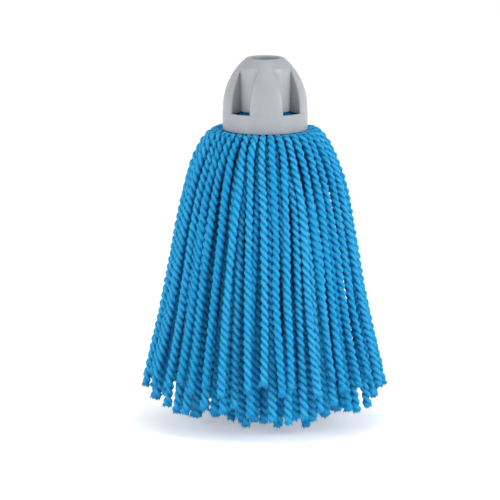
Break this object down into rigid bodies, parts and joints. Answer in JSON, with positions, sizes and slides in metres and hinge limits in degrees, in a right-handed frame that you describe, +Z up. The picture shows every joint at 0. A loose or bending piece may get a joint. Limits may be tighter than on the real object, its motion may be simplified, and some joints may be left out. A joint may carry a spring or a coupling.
{
  "type": "string mop head",
  "caption": "Push-on mop head: domed plastic socket with a handle bore and recessed pockets, over a full skirt of twisted yarn.",
  "frame": {"origin": "centre of the handle bore's mouth, in the plane of the socket's top rim", "axes": "+Z up out of the bore, along the handle; -Y towards the front, midway between two pockets; +X to the right seen from the front"},
  "size_m": [0.2038, 0.2021, 0.3003],
  "materials": {
    "socket_plastic": "satin moulded grey polypropylene",
    "plug_plastic": "moulded grey polypropylene",
    "ring_wire": "plain moulded hoop",
    "yarn": "twisted blue cotton and polyester yarn"
  },
  "bodies": {
    "head": {"socket": "socket_plastic", "clamp_plug": "plug_plastic", "anchor_ring": "ring_wire", "gathered_yarn": "yarn", "inner_legs_1": "yarn", "inner_legs_2": "yarn", "inner_legs_3": "yarn", "inner_legs_4": "yarn", "inner_legs_5": "yarn", "core_legs": "yarn"},
    "lock_01": {"outer_leg_01": "yarn", "outer_leg_02": "yarn", "outer_leg_03": "yarn", "outer_leg_04": "yarn", "second_legs_01": "yarn"},
    "lock_02": {"outer_leg_05": "yarn", "outer_leg_06": "yarn", "outer_leg_07": "yarn", "outer_leg_08": "yarn", "second_legs_02": "yarn"},
    "lock_03": {"outer_leg_09": "yarn", "outer_leg_10": "yarn", "outer_leg_11": "yarn", "outer_leg_12": "yarn", "second_legs_03": "yarn"},
    "lock_04": {"outer_leg_13": "yarn", "outer_leg_14": "yarn", "outer_leg_15": "yarn", "outer_leg_16": "yarn", "second_legs_04": "yarn"},
    "lock_05": {"outer_leg_17": "yarn", "outer_leg_18": "yarn", "outer_leg_19": "yarn", "outer_leg_20": "yarn", "second_legs_05": "yarn"},
    "lock_06": {"outer_leg_21": "yarn", "outer_leg_22": "yarn", "outer_leg_23": "yarn", "outer_leg_24": "yarn", "second_legs_06": "yarn"},
    "lock_07": {"outer_leg_25": "yarn", "outer_leg_26": "yarn", "outer_leg_27": "yarn", "outer_leg_28": "yarn", "second_legs_07": "yarn"},
    "lock_08": {"outer_leg_29": "yarn", "outer_leg_30": "yarn", "outer_leg_31": "yarn", "outer_leg_32": "yarn", "second_legs_08": "yarn"},
    "lock_09": {"outer_leg_33": "yarn", "outer_leg_34": "yarn", "outer_leg_35": "yarn", "outer_leg_36": "yarn", "second_legs_09": "yarn"},
    "lock_10": {"outer_leg_37": "yarn", "outer_leg_38": "yarn", "outer_leg_39": "yarn", "outer_leg_40": "yarn", "second_legs_10": "yarn"}
  },
  "joints": [
    {"name": "lock_01_swing", "type": "hinge", "parent": "head", "child": "lock_01", "pos_m": [0, -0.0395, -0.062], "axis": [-1, 0, 0], "range_deg": [0, 60]},
    {"name": "lock_02_swing", "type": "hinge", "parent": "head", "child": "lock_02", "pos_m": [0.02322, -0.03196, -0.062], "axis": [-0.809, -0.5878, 0], "range_deg": [0, 60]},
    {"name": "lock_03_swing", "type": "hinge", "parent": "head", "child": "lock_03", "pos_m": [0.03757, -0.01221, -0.062], "axis": [-0.309, -0.9511, 0], "range_deg": [0, 60]},
    {"name": "lock_04_swing", "type": "hinge", "parent": "head", "child": "lock_04", "pos_m": [0.03757, 0.01221, -0.062], "axis": [0.309, -0.9511, 0], "range_deg": [0, 60]},
    {"name": "lock_05_swing", "type": "hinge", "parent": "head", "child": "lock_05", "pos_m": [0.02322, 0.03196, -0.062], "axis": [0.809, -0.5878, 0], "range_deg": [0, 60]},
    {"name": "lock_06_swing", "type": "hinge", "parent": "head", "child": "lock_06", "pos_m": [0, 0.0395, -0.062], "axis": [1, 0, 0], "range_deg": [0, 60]},
    {"name": "lock_07_swing", "type": "hinge", "parent": "head", "child": "lock_07", "pos_m": [-0.02322, 0.03196, -0.062], "axis": [0.809, 0.5878, 0], "range_deg": [0, 60]},
    {"name": "lock_08_swing", "type": "hinge", "parent": "head", "child": "lock_08", "pos_m": [-0.03757, 0.01221, -0.062], "axis": [0.309, 0.9511, 0], "range_deg": [0, 60]},
    {"name": "lock_09_swing", "type": "hinge", "parent": "head", "child": "lock_09", "pos_m": [-0.03757, -0.01221, -0.062], "axis": [-0.309, 0.9511, 0], "range_deg": [0, 60]},
    {"name": "lock_10_swing", "type": "hinge", "parent": "head", "child": "lock_10", "pos_m": [-0.02322, -0.03196, -0.062], "axis": [-0.809, 0.5878, 0], "range_deg": [0, 60]}
  ]
}
